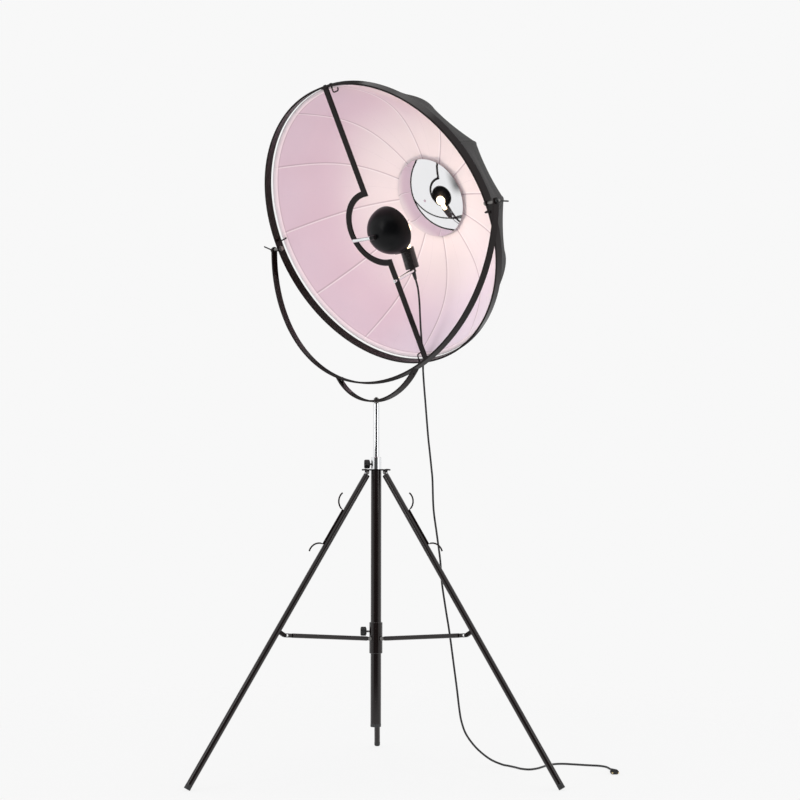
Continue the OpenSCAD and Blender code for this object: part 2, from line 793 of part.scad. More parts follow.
// Rib curve and its outward normal
function rib_at(t) =
    let (p1 = rib_start + rib_lead, p2 = [rib_tail, -dish_depth], p3 = [0, -dish_depth], s = 1 - t)
    s * s * s * rib_start + 3 * s * s * t * p1 + 3 * s * t * t * p2 + t * t * t * p3;
function rib_slope(t) =
    let (p1 = rib_start + rib_lead, p2 = [rib_tail, -dish_depth], p3 = [0, -dish_depth], s = 1 - t)
    3 * s * s * (p1 - rib_start) + 6 * s * t * (p2 - p1) + 3 * t * t * (p3 - p2);
function rib_normal(t) = let (w = unit(rib_slope(t))) [-w[1], w[0]];

// Point of the cloth: round at the hem, then stretched flat and dipping between the ribs.
// The share is 0 on a rib and 1 on the next, and the lift is the distance out from the rib curve.
function cloth_point(t, gore, share, lift) =
    let (
        step = 360 / gores,
        off = share - 0.5,
        ramp = min(1, t / 0.15),
        pull = ramp * ramp * (3 - 2 * ramp),
        chord = 1 - pull * (1 - cos(step / 2) / cos(step * off)),
        dip = gore_dip * pull * sin(180 * t) * (1 - 4 * off * off),
        normal = rib_normal(t),
        flat = rib_at(t) + (lift - dip) * normal,
        a = head_angle(seam_turn + step * (gore + share))
    ) [flat[0] * chord * cos(a), flat[0] * chord * sin(a), flat[1]];

function cloth_step(i) = skin_end * pow(i / skin_steps, 1.3);

// Middle line of a rib, through the cloth's own steps, from beside the hoop to the hub disc
function rib_run() =
    let (
        run = [for (i = [0 : skin_steps]) let (t = cloth_step(i)) rib_at(t) + rib_lift * rib_normal(t)],
        lead = (hoop_d / 2 + fit_gap) / norm(run[1] - run[0]),
        before = run[skin_steps - 1],
        last = run[skin_steps],
        share = (before[0] - rib_hub_r - fit_gap) / (before[0] - last[0])
    ) concat(
        [run[0] + lead * (run[1] - run[0])],
        [for (i = [1 : skin_steps - 1]) run[i]],
        [before + share * (last - before)]
    );

// Closed shell of cloth between two distances from the rib curve
module cloth_shell(low, high) {
    columns = gores * gore_cells;
    rows = skin_steps + 1;
    layer = [for (lift = [low, high]) for (i = [0 : skin_steps]) for (j = [0 : columns - 1])
        cloth_point(cloth_step(i), floor(j / gore_cells), (j % gore_cells) / gore_cells, lift)];
    outer = columns * rows;
    skin = [for (i = [0 : skin_steps - 1]) for (j = [0 : columns - 1])
        let (k = (j + 1) % columns, here = i * columns, next = here + columns) [here + j, here + k, next + k, next + j]];
    inside = [for (f = skin) for (half = [[0, 1, 2], [0, 2, 3]]) [for (k = half) f[k]]];
    outside = [for (f = inside) [f[2] + outer, f[1] + outer, f[0] + outer]];
    hem = [for (j = [0 : columns - 1]) let (k = (j + 1) % columns) [j, j + outer, k + outer, k]];
    base = skin_steps * columns;
    pole = [for (j = [0 : columns - 1]) let (k = (j + 1) % columns)
        [base + j, base + k, base + k + outer, base + j + outer]];
    polyhedron(layer, concat(inside, outside, hem, pole), convexity = 10);
}

module lining() {
    color("pink") in_head() cloth_shell(0, cloth_t);
}

// One gore of cloth as a closed panel, a hair short of its seams at both sides
module cloth_panel(gore, low, high) {
    wide = gore_cells + 1;
    layer = [for (lift = [low, high]) for (i = [0 : skin_steps]) for (j = [0 : gore_cells])
        let (t = cloth_step(i), edge = seam_gap / (rib_at(t)[0] * 2 * PI / gores))
        cloth_point(t, gore, edge + (1 - 2 * edge) * j / gore_cells, lift)];
    outer = wide * (skin_steps + 1);
    skin = [for (i = [0 : skin_steps - 1]) for (j = [0 : gore_cells - 1])
        [i * wide + j, i * wide + j + 1, (i + 1) * wide + j + 1, (i + 1) * wide + j]];
    inside = [for (f = skin) for (half = [[0, 1, 2], [0, 2, 3]]) [for (k = half) f[k]]];
    outside = [for (f = inside) [f[2] + outer, f[1] + outer, f[0] + outer]];
    rim = concat(
        [for (j = [gore_cells : -1 : 1]) j], [for (i = [0 : skin_steps - 1]) i * wide],
        [for (j = [0 : gore_cells - 1]) skin_steps * wide + j],
        [for (i = [skin_steps : -1 : 1]) i * wide + gore_cells]
    );
    walls = [for (k = [0 : len(rim) - 1]) let (a = rim[k], b = rim[(k + 1) % len(rim)])
        for (f = [[a, b, b + outer], [a, b + outer, a + outer]]) f];
    polyhedron(layer, concat(inside, outside, walls), convexity = 10);
}

// Gores of dark cloth over the ribs
module cover() {
    color([0.15, 0.15, 0.16]) in_head() for (gore = [0 : gores - 1])
        cloth_panel(gore, cover_lift, cover_lift + cloth_t);
}

// Wire hoop between lining and cover at the hem
module hem_hoop() {
    middle = rib_at(0) + rib_lift * rib_normal(0);
    color("dimgray") in_head() rotate_extrude($fn = 180) translate(middle) circle(d = hoop_d, $fn = 32);
}

// Bent rods from the hoop to the hub disc, one under each seam
module ribs() {
    color("dimgray") in_head() for (k = [0 : gores - 1]) {
        a = head_angle(seam_turn + 360 * k / gores);
        path = [for (p = rib_run()) [p[0] * cos(a), p[0] * sin(a), p[1]]];
        swept_rod(path, rib_d / 2, rib_sides, [-sin(a), cos(a), 0]);
    }
}

// Disc that the ribs meet, its screw, and the cap outside the cover
module rib_hub() {
    cap_z = -dish_depth - cover_lift - cloth_t - fit_gap;
    color("dimgray") in_head() {
        translate([0, 0, hub_disc_z - rib_hub_t / 2]) cylinder(h = rib_hub_t, r = rib_hub_r);
        translate([0, 0, cap_z - 1]) cylinder(h = dome_z + dome_h - 8 - cap_z, r = hub_screw_r);
        translate([0, 0, cap_z - cover_cap_t]) cylinder(h = cover_cap_t, r = cover_cap_r);
    }
}

// Spun mirror dome before the lining, with a socket for the hub screw
module dome() {
    ball_z = dome_z + dome_h - dome_ball;
    color("silver") in_head() {
        intersection() {
            translate([0, 0, ball_z]) difference() {
                sphere(r = dome_ball, $fn = 180);
                sphere(r = dome_ball - dome_sheet, $fn = 180);
            }
            translate([0, 0, dome_z]) cylinder(h = dome_h + 1, r = dome_r + 1);
        }
        translate([0, 0, dome_z + dome_h - 16]) difference() {
            cylinder(h = 15.5, r = hub_screw_r + 4);
            translate([0, 0, -1]) cylinder(h = 10, r = hub_screw_r + 0.1);
        }
    }
}

// Hooks from the ring to the hem: a head outside, a bend inside and a tip at the lining
module cover_hooks() {
    back = -hem_back + tie_bend - 1;
    color("black") in_head() for (turn = hook_turns) rotate([0, 0, head_angle(turn)]) rotate([90, 0, 0]) {
        translate([ring_outer, 0, 0]) rotate([0, 90, 0]) cylinder(h = tie_head_t, r = tie_head_r, $fn = 32);
        translate([tie_in, 0, 0]) rotate([0, 90, 0]) cylinder(h = ring_outer - tie_in + 1, r = tie_r, $fn = 32);
        translate([tie_in, -tie_bend, 0]) rotate([0, 0, 90]) rotate_extrude(angle = 90)
            translate([tie_bend, 0]) circle(r = tie_r, $fn = 32);
        translate([tie_in - tie_bend, -tie_bend, 0]) rotate([90, 0, 0])
            cylinder(h = -back - tie_bend, r = tie_r, $fn = 32);
        translate([tie_in, back, 0]) rotate([0, 0, 180]) rotate_extrude(angle = 90)
            translate([tie_bend, 0]) circle(r = tie_r, $fn = 32);
        translate([tie_in, back - tie_bend, 0]) rotate([0, 90, 0])
            cylinder(h = tie_tip - tie_in, r = tie_r, $fn = 32);
        translate([tie_tip, back - tie_bend, 0]) sphere(r = tie_r, $fn = 32);
    }
}

// Flat bar across the ring with a half-round bow, end tabs and screws
module crossbar() {
    low = cross_x - cross_w / 2;
    high = cross_x + cross_w / 2;
    reach = sqrt(ring_inner * ring_inner - high * high) - tab_t;
    tab_y = ring_inner - tab_t - 0.2;
    color("black") in_head() difference() {
        union() {
            translate([low, bow_y + bow_r - cross_w / 2, -cross_t / 2])
                cube([cross_w, tab_y + 1 - (bow_y + bow_r - cross_w / 2), cross_t]);
            translate([low, -tab_y - 1, -cross_t / 2])
                cube([cross_w, tab_y + 1 + bow_y - bow_r + cross_w / 2, cross_t]);
            translate([cross_x, bow_y, -cross_t / 2]) rotate([0, 0, 90]) rotate_extrude(angle = 180)
                translate([bow_r - cross_w / 2, 0]) square([cross_w, cross_t]);
            intersection() {
                for (side = [-1, 1]) translate([low, side > 0 ? tab_y : -tab_y - 2 * tab_t, -tab_w / 2])
                    cube([cross_w, 2 * tab_t, tab_w]);
                cylinder(h = 2 * tab_w, r = ring_inner - 0.15, center = true, $fn = 180);
            }
            for (side = [-1, 1]) translate([cross_x, side * tab_y, 0]) rotate([side * -90, 0, 0]) {
                cylinder(h = ring_outer - tab_y + 1, r = cross_screw_r, $fn = 32);
                translate([0, 0, ring_outer - tab_y]) cylinder(h = 2.5, r = 4.5, $fn = 32);
            }
        }
        translate([cross_x + 1, holder_y, 0]) cylinder(h = 4 * cross_t, d = rod_d, center = true);
    }
}

// ---- Lamp ----

// Frame of the bowl's rod: Z from the crossbar's bow to the bowl's pole
module in_bowl_rod() {
    translate(bowl_rod_start) rotate([0, 90 - bowl_rod_lean, 0]) children();
}

// Glare bowl with a drip lip at its lower rim and the ferrule on its pole
module bowl() {
    lip_w = 30;
    color([0.1, 0.1, 0.1]) in_head() difference() {
        union() {
            translate([0, bowl_y, bowl_z]) difference() {
                sphere(r = bowl_r, $fn = 128);
                translate([0, 0, -bowl_r]) cylinder(h = bowl_r, r = bowl_r + 1);
            }
            translate([-lip_w / 2, bowl_y - bowl_r - 2, bowl_z]) cube([lip_w, 8, 8]);
            in_bowl_rod() translate([0, 0, bowl_rod_len]) cylinder(h = ferrule_len, r = ferrule_r);
        }
        translate([0, bowl_y, bowl_z]) sphere(r = bowl_r - bowl_wall, $fn = 128);
        in_bowl_rod() cylinder(h = bowl_rod_len + 12, d = rod_d);
    }
}

// Chrome rod from the bow to the ferrule, round at its free end
module bowl_rod() {
    color("silver") in_head() in_bowl_rod() {
        cylinder(h = bowl_rod_len + 11.8, d = rod_d - 0.1);
        sphere(d = rod_d - 0.1, $fn = 64);
    }
}

// Chrome rod through the crossbar to the socket's end cap
module holder_rod() {
    color("silver") in_head() translate([cross_x + 1, holder_y, 0]) {
        translate([0, 0, socket_z + holder_seat + 0.1])
            cylinder(h = holder_front - socket_z - holder_seat, d = rod_d - 0.1);
        translate([0, 0, holder_front]) sphere(d = rod_d - 0.1, $fn = 64);
    }
}

// Leans the socket and what it holds about its seat, the bulb's end away from the crossbar
module in_socket() {
    in_head() translate([0, holder_y, socket_z]) rotate([-socket_lean, 0, 0])
        translate([0, -holder_y, -socket_z]) children();
}

// Socket shell, open at the bulb's side, with a narrower end cap
module socket() {
    color("black") difference() {
        in_socket() translate([0, socket_end, socket_z]) rotate([-90, 0, 0]) difference() {
            union() {
                cylinder(h = socket_len, d = socket_d);
                translate([0, 0, -cap_len]) cylinder(h = cap_len + 1, d = socket_cap_d);
            }
            translate([0, 0, socket_floor]) cylinder(h = socket_len, d = socket_d - 2 * socket_wall);
        }
        in_head() translate([cross_x + 1, holder_y, socket_z + holder_seat]) cylinder(h = socket_d, d = rod_d);
    }
}

// Frosted bulb with its screw base in the socket
module bulb() {
    neck_r = 13.5;
    reach = bulb_y - socket_end - socket_floor - fit_gap;
    color([1, 0.9, 0.7]) in_socket() translate([0, bulb_y, socket_z]) rotate([90, 0, 0]) {
        sphere(d = bulb_d, $fn = 96);
        cylinder(h = reach - 27, r = neck_r);
        cylinder(h = reach, r = neck_r - 0.5);
    }
}

// Tapered rubber sleeve where the cord leaves the socket
module strain_relief() {
    length = relief_start - relief_end;
    color("black") in_socket() translate([0, relief_start, socket_z]) rotate([90, 0, 0])
        cylinder(h = length, r1 = 7, r2 = 4.6);
}

// Pivot bolts with their washers and spacers
module pivot_bolts() {
    color("dimgray") in_head() for (side = [0, 180]) rotate([0, 0, side]) rotate([0, 90, 0]) {
        head = ring_inner - washer_t - pivot_head_len;
        translate([0, 0, head]) cylinder(h = pivot_head_len, r = pivot_head_r, $fn = 6);
        translate([0, 0, head + 1]) cylinder(h = bolt_end - head - 1, r = bolt_r);
        translate([0, 0, ring_inner - washer_t]) cylinder(h = washer_t - 0.2, r = 9);
        difference() {
            translate([0, 0, ring_outer + 0.1]) cylinder(h = spacer_len - 0.1, r = 7);
            translate([0, 0, ring_outer - 1]) cylinder(h = 2 * spacer_len, r = bolt_r - 0.5);
        }
    }
}

// Wing nut on the right pivot; turned half round it fits the left
module wing_nut() {
    rotate([0, 90, 0]) translate([0, 0, yoke_outer + fit_gap]) difference() {
        union() {
            cylinder(h = wing_base_t, r = wing_base_r);
            for (side = [-1, 1]) translate([0, 0, wing_base_t - 2]) rotate([0, side * wing_lean, 0])
                translate([0, 0, 3]) {
                    cylinder(h = wing_rod_len, d = wing_rod_d, $fn = 32);
                    translate([0, 0, wing_rod_len]) sphere(d = wing_rod_d, $fn = 32);
                }
        }
        translate([0, 0, -1]) cylinder(h = 3 * wing_base_t, r = bolt_r + 0.1);
    }
}

module wing_nut_left() {
    color("black") in_head() rotate([0, 0, 180]) rotate([60, 0, 0]) wing_nut();
}

module wing_nut_right() {
    color("black") in_head() rotate([wing_turn, 0, 0]) wing_nut();
}

// ---- Cord ----

// A place of the head's frame in the lamp's frame
function from_head(p) =
    let (
        tilt = 90 + head_tilt,
        y = p[1] * cos(tilt) - p[2] * sin(tilt),
        z = p[1] * sin(tilt) + p[2] * cos(tilt)
    ) [p[0] * cos(head_turn) + y * sin(head_turn), y * cos(head_turn) - p[0] * sin(head_turn), z + head_z];

route_upper = concat([for (p = route_upper_head) from_head(p)], [route_tail]);
path_upper = smooth_route(route_upper, 1);
path_tilt = smooth_route(route_tilt, 2);
path_turn = smooth_route(route_turn, 2);
path_slide = smooth_route(route_slide, 2);
path_floor = smooth_route(route_floor, 1);
way_tail = unit([0, 0, -1]);
way_turn = unit([0.1, -0.05, -1]);
way_slide = unit([0.09, -0.05, -1]);
way_floor = unit([0.25, 0, -1]);

module cord_upper() {
    cord_rod(path_upper, [0, 1, 0], from_head(route_upper_head[1]) - from_head(route_upper_head[0]), way_tail);
}

module cord_tilt() {
    cord_rod(path_tilt, [0, 1, 0], way_tail, way_turn);
}

module cord_turn() {
    cord_rod(path_turn, [0, 1, 0], way_turn, way_slide);
}

module cord_slide() {
    cord_rod(path_slide, [0, 1, 0], way_slide, way_floor);
}

module cord_floor() {
    cord_rod(path_floor, [0, 1, 0], way_floor, [0, -1, 0]);
}

// Frame of the plug: Y pointing out of its face, at the cord's end
module in_plug() {
    end = route_floor[len(route_floor) - 1];
    translate(end) rotate([0, 0, 180]) children();
}

// Flat two-pin plug lying on the floor, its back drawn in to the cord
module plug() {
    color("black") in_plug() difference() {
        union() {
            translate([0, plug_len - 12, 0]) rotate([-90, 0, 0]) linear_extrude(12) plug_outline(1);
            hull() {
                translate([0, plug_len - 12.5, 0]) rotate([-90, 0, 0]) linear_extrude(1) plug_outline(1);
                rotate([-90, 0, 0]) cylinder(h = 1, d = cord_d + 3, $fn = 32);
            }
        }
        for (side = [-1, 1]) translate([side * pin_pitch / 2, plug_len - pin_root, 0])
            rotate([-90, 0, 0]) cylinder(h = 2 * pin_root, d = pin_d - 1);
    }
}

// Section of the plug's body: a flat with half-round sides
module plug_outline(scale_share) {
    half = (plug_w - plug_h) / 2 * scale_share;
    for (side = [-1, 1]) translate([side * half, 0]) circle(d = plug_h, $fn = 48);
    square([2 * half, plug_h], center = true);
}

module plug_pins() {
    color("gold") in_plug() for (side = [-1, 1])
        translate([side * pin_pitch / 2, plug_len, 0]) rotate([-90, 0, 0]) {
            translate([0, 0, -pin_root]) cylinder(h = pin_root + 1, d = pin_d - 1, $fn = 32);
            cylinder(h = pin_len - pin_d / 2, d = pin_d, $fn = 32);
            translate([0, 0, pin_len - pin_d / 2]) sphere(d = pin_d, $fn = 32);
        }
}

column();
column_cap();
spider_plate();
hub_pins();
sleeve();
mast_knob();
mast_stud();
collar();
collar_bolts();
collar_knob();
collar_stud();
leg_tube(az_a);  // leg_tube_a
leg_top(az_a);  // leg_top_a
foot_cap(az_a);  // foot_cap_a
leg_lug(az_a);  // leg_lug_a
cord_hooks(az_a);  // cord_hooks_a
leg_tube(az_b);  // leg_tube_b
leg_top(az_b);  // leg_top_b
foot_cap(az_b);  // foot_cap_b
leg_lug(az_b);  // leg_lug_b
cord_hooks(az_b);  // cord_hooks_b
leg_tube(az_c);  // leg_tube_c
leg_top(az_c);  // leg_top_c
foot_cap(az_c);  // foot_cap_c
leg_lug(az_c);  // leg_lug_c
cord_hooks(az_c);  // cord_hooks_c
strut(az_a);  // strut_a
strut(az_b);  // strut_b
strut(az_c);  // strut_c
mast();
mast_guide();
swivel_stud();
crescent();
yoke();
yoke_rivets();
ring();
hem_hoop();
cover();
lining();
ribs();
rib_hub();
dome();
cover_hooks();
crossbar();
bowl();
bowl_rod();
holder_rod();
socket();
bulb();
strain_relief();
pivot_bolts();
wing_nut_left();
wing_nut_right();
cord_upper();
cord_tilt();
cord_turn();
cord_slide();
cord_floor();
plug();
plug_pins();
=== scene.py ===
"""Tripod spotlight floor lamp: fabric reflector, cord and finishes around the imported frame.

Lengths are in metres. The head has its own frame: P along the pivots, C up the crossbar,
N out of the reflector's open face.
"""
import json
import math

import bpy
import numpy as np
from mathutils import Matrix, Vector


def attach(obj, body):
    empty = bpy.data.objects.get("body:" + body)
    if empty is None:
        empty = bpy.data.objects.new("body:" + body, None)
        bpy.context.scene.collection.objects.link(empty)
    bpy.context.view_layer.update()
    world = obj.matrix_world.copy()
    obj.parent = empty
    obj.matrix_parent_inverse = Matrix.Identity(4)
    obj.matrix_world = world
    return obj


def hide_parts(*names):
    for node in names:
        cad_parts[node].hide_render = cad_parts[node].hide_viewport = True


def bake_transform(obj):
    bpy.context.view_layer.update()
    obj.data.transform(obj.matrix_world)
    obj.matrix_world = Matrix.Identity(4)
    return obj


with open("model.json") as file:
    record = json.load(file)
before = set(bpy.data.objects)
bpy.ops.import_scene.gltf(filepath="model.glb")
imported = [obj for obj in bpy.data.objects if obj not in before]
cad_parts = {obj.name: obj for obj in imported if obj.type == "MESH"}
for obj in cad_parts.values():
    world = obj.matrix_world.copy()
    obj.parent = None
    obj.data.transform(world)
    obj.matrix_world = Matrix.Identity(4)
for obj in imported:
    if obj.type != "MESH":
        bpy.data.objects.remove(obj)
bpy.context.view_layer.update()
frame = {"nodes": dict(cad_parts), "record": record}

# ---- Sizes of the lamp ----

HEAD_HEIGHT = 1.71595
HEAD_TURN = math.radians(44.7)
HEAD_TILT = math.radians(29.3)

GORES = 12
SEAM_TURN = math.radians(-5.5)
HEM_RADIUS = 0.458
HEM_BACK = 0.024        # the hem's distance behind the pivot line
DISH_DEPTH = 0.310      # the pole's distance behind the pivot line
RIB_LEAD = 0.243 * np.array([-0.372, -0.928])   # handle of the rib's cubic at the hem
RIB_TAIL_RADIUS = 0.289                         # its other handle, level with the pole
CLOTH = 0.0008
COVER_LIFT = 0.0061     # how far the cover lies outside the rib curve
GORE_DIP = 0.007        # how far a gore's middle sinks between its ribs
CHORD_SHARE = 0.15      # the rib's share in which the round hem goes over into chords
POLE_SHARE = 0.985      # the cloth ends just short of the pole
CROWDING = 1.15         # rows of cloth lie closer together near the hem

LINING_WELT = 0.0009
LINING_WELT_WIDTH = 0.0016
COVER_WELT = 0.0011
COVER_WELT_WIDTH = 0.0022
WELT_FROM, WELT_RAMP = 0.02, 0.03   # radius where the welts begin, and the width of their rise
TWO_SIDED = 1.14        # a quad that spans this many times its reach has both signs of u

HOOP_LIFT = 0.0031      # the hem hoop's centre line outside the rib curve
TAPE_OUT = 0.0012       # the tape's middle outside the hoop's centre line
TAPE_HALF_WIDTH = 0.0036
TAPE_HALF_HEIGHT = 0.0023
TAPE_STEP = 0.001       # UV length given to each side of the tape

CORD = 0.0065

pivots = np.array([math.cos(HEAD_TURN), -math.sin(HEAD_TURN), 0.0])
level = np.array([math.sin(HEAD_TURN), math.cos(HEAD_TURN), 0.0])
outward = -level * math.cos(HEAD_TILT) - np.array([0.0, 0.0, math.sin(HEAD_TILT)])
upward = np.cross(outward, pivots)
head_centre = np.array([0.0, 0.0, HEAD_HEIGHT])


def in_head(points):
    """Head frame to lamp frame: centre plus p times P plus c times C plus n times N."""
    points = np.asarray(points, float)
    return head_centre + points @ np.stack([pivots, upward, outward])


# ---- Mesh helpers ----

CORNERS = ((0, 0), (0, 1), (1, 1), (1, 0))   # row and column steps to a quad's corners


def put_object(name, data):
    """An object for a mesh, lamp or camera, linked into the scene."""
    thing = bpy.data.objects.new(name, data)
    bpy.context.scene.collection.objects.link(thing)
    return thing


def put_mesh(name, points, quads, smooth=True, uv=None, shades=None):
    """A mesh object from arrays: points (n, 3), quads (m, 4), one UV pair per corner and named
    point values."""
    mesh = bpy.data.meshes.new(name)
    quads = np.asarray(quads, np.int32)
    mesh.vertices.add(len(points))
    mesh.vertices.foreach_set("co", np.asarray(points, np.float32).ravel())
    mesh.loops.add(quads.size)
    mesh.loops.foreach_set("vertex_index", quads.ravel())
    mesh.polygons.add(len(quads))
    mesh.polygons.foreach_set("loop_start", np.arange(0, quads.size, 4, dtype=np.int32))
    mesh.polygons.foreach_set("use_smooth", np.full(len(quads), smooth))
    mesh.update(calc_edges=True)
    if uv is not None:
        layer = mesh.uv_layers.new(name="UVMap")
        layer.uv.foreach_set("vector", np.asarray(uv, np.float32).ravel())
    for key, values in (shades or {}).items():
        shade = mesh.attributes.new(key, "FLOAT", "POINT")
        shade.data.foreach_set("value", np.asarray(values, np.float32).ravel())
    mesh.validate()
    return put_object(name, mesh)


def grid_quads(rows, columns, wrap_rows=False):
    """Corner numbers of the quads of a grid whose point number is row times columns plus column.
    Its columns close round, and with wrap_rows its rows do too."""
    r = np.arange(rows if wrap_rows else rows - 1)[:, None]
    c = np.arange(columns)[None, :]
    down, right = (r + 1) % rows, (c + 1) % columns
    corners = [r * columns + c, r * columns + right, down * columns + right, down * columns + c]
    return np.stack(corners, -1).reshape(-1, 4)


def smooth_route(route, steps):
    """Smooth curve through points: on each span the cubic through its ends whose slopes are half
    the difference of the neighbours; at the ends the neighbour is mirrored."""
    p = np.asarray(route, float)
    p = np.vstack([2 * p[0] - p[1], p, 2 * p[-1] - p[-2]])
    t = (np.arange(steps) / steps)[None, :, None]
    a, b, c, d = (p[i:len(p) - 3 + i, None, :] for i in range(4))
    curve = 0.5 * (2 * b + (c - a) * t + (2 * a - 5 * b + 4 * c - d) * t ** 2
                   + (3 * b - a - 3 * c + d) * t ** 3)
    return np.vstack([curve.reshape(-1, 3), p[-2]])


def unit(v):
    return v / np.linalg.norm(v, axis=-1, keepdims=True)


def step_lengths(path):
    """Distances from each point of a path to the next."""
    return np.linalg.norm(np.diff(path, axis=0), axis=1)


def tube(name, path, radius, sides=16):
    """Round tube along a path: at each point a circle square to the path, its sides turned as
    little as possible from the last one, and at both ends a fan of triangles that closes it.
    UV is arc length by girth in metres."""
    path = np.asarray(path, float)
    ways = unit(np.gradient(path, axis=0))
    side = [unit(np.cross(ways[0], [0.31, 0.95, 0.12]))]
    for way in ways[1:]:
        side.append(unit(side[-1] - (side[-1] @ way) * way))
    side = np.array(side)
    other = np.cross(ways, side)
    angle = (2 * math.pi * np.arange(sides) / sides)[None, :, None]
    spoke = np.cos(angle) * side[:, None] + np.sin(angle) * other[:, None]
    points = (path[:, None] + radius * spoke).reshape(-1, 3)
    points = np.vstack([points, path[0], path[-1]])
    quads = grid_quads(len(path), sides)
    along = np.concatenate([[0], np.cumsum(step_lengths(path))])
    girth = 2 * math.pi * radius * np.arange(sides + 1) / sides
    r, c = np.divmod(np.arange(len(quads)), sides)
    uv = np.stack([np.stack([along[r + i], girth[c + j]], -1) for i, j in CORNERS], 1)
    k = np.arange(sides)
    following = (k + 1) % sides
    first, last = len(points) - 2, len(points) - 1
    base = (len(path) - 1) * sides
    near = np.stack([k, np.full(sides, first), following], -1)
    far = np.stack([base + k, base + following, np.full(sides, last)], -1)
    mesh = bpy.data.meshes.new(name)
    mesh.from_pydata(points.tolist(), [], quads.tolist() + near.tolist() + far.tolist())
    is_wall = np.concatenate([np.full(len(quads), True), np.full(2 * sides, False)])
    mesh.polygons.foreach_set("use_smooth", is_wall)
    flat = np.zeros((len(mesh.loops), 2), np.float32)
    flat[:quads.size] = uv.reshape(-1, 2)
    mesh.uv_layers.new(name="UVMap").uv.foreach_set("vector", flat.ravel())
    mesh.update()
    return put_object(name, mesh)


# ---- The reflector's cloth ----

def rib_curve(t):
    """The rib's cubic from the hem (t = 0) to the pole (t = 1), as radius and height, with its
    outward normal."""
    t = np.asarray(t, float)[..., None]
    start = np.array([HEM_RADIUS, -HEM_BACK])
    lead = start + RIB_LEAD
    tail, end = np.array([RIB_TAIL_RADIUS, -DISH_DEPTH]), np.array([0.0, -DISH_DEPTH])
    s = 1 - t
    place = s ** 3 * start + 3 * s * s * t * lead + 3 * s * t * t * tail + t ** 3 * end
    slope = unit(3 * s * s * (lead - start) + 6 * s * t * (tail - lead) + 3 * t * t * (end - tail))
    return place, np.stack([-slope[..., 1], slope[..., 0]], -1)


def cloth_points(t, gore_at, lift):
    """Cloth at a share t of the rib and a place round the ring counted in gores. Between two ribs
    the round hem goes over into a straight chord, and the cloth dips inwards as a parabola across
    and half a sine wave along the gore. Lift is the distance outwards from the rib curve."""
    step = 2 * math.pi / GORES
    off = gore_at - np.floor(gore_at) - 0.5
    ramp = np.clip(t / CHORD_SHARE, 0, 1)
    pull = ramp * ramp * (3 - 2 * ramp)
    chord = 1 - pull * (1 - math.cos(step / 2) / np.cos(step * off))
    dip = GORE_DIP * pull * np.sin(math.pi * t) * (1 - 4 * off * off)
    place, normal = rib_curve(t)
    flat = place + (lift - dip)[..., None] * normal
    angle = math.pi / 2 + SEAM_TURN + step * gore_at
    r = flat[..., 0] * chord
    return in_head(np.stack([r * np.cos(angle), r * np.sin(angle), flat[..., 1]], -1))


def cloth_shell(name, low, high, welt, welt_width, outside):
    """Closed shell of cloth between two lifts from the rib curve. Along each seam a low rounded
    welt, a bell curve across, stands out on the side that shows. UV is the distance from the
    gore's middle by the length along the rib, in metres; seam is the distance from the nearest
    seam in metres, below zero on one side, and rib_share is t."""
    rows, cells = 56, 18
    t = POLE_SHARE * np.linspace(0, 1, rows) ** CROWDING
    by_seam = np.array([0, 0.006, 0.014, 0.028])
    between = np.linspace(0.06, 0.94, cells - 2 * len(by_seam) + 1)
    share = np.concatenate([by_seam, between, 1 - by_seam[:0:-1]])
    gore_at = (np.arange(GORES)[:, None] + share[None, :]).ravel()
    columns = len(gore_at)
    tt, gg = np.meshgrid(t, gore_at, indexing="ij")
    rib = rib_curve(t)[0]
    radius = rib[:, :1]
    gore_width = 2 * math.pi / GORES * radius
    from_seam = np.minimum(gg % 1, 1 - gg % 1) * gore_width

    rise = np.clip((radius - WELT_FROM) / WELT_RAMP, 0, 1)
    bump = welt * np.exp(-(from_seam / welt_width) ** 2) * rise
    shown = high + bump if outside else low - bump
    hidden = np.full_like(tt, low if outside else high)
    inner, outer = (hidden, shown) if outside else (shown, hidden)
    points = np.vstack([cloth_points(tt, gg, lift).reshape(-1, 3) for lift in (inner, outer)])

    skin = grid_quads(rows, columns)
    top = rows * columns
    k = np.arange(columns)
    nxt = (k + 1) % columns
    hem = np.stack([k, k + top, nxt + top, nxt], -1)
    base = (rows - 1) * columns
    pole = np.stack([base + k, base + nxt, base + nxt + top, base + k + top], -1)
    quads = np.vstack([skin, skin[:, ::-1] + top, hem, pole])

    along = np.concatenate([[0], np.cumsum(step_lengths(rib))])
    across = (gg % 1 - 0.5) * gore_width
    on_points = np.stack([across, np.broadcast_to(along[:, None], across.shape)], -1).reshape(-1, 2)
    uv = np.vstack([on_points, on_points])[quads]
    # A quad that ends on the next seam reads its far side from the next gore: mirror it back
    u = uv[:, :, 0]
    crosses = u.max(1) - u.min(1) > TWO_SIDED * np.abs(u).max(1)
    uv = np.stack([np.where(crosses[:, None] & (u < 0), -u, u), uv[:, :, 1]], -1)
    shades = {"seam": np.where(gg % 1 < 0.5, from_seam, -from_seam), "rib_share": tt}
    shades = {key: np.tile(value.ravel(), 2) for key, value in shades.items()}
    return put_mesh(name, points, quads, uv=uv, shades=shades)


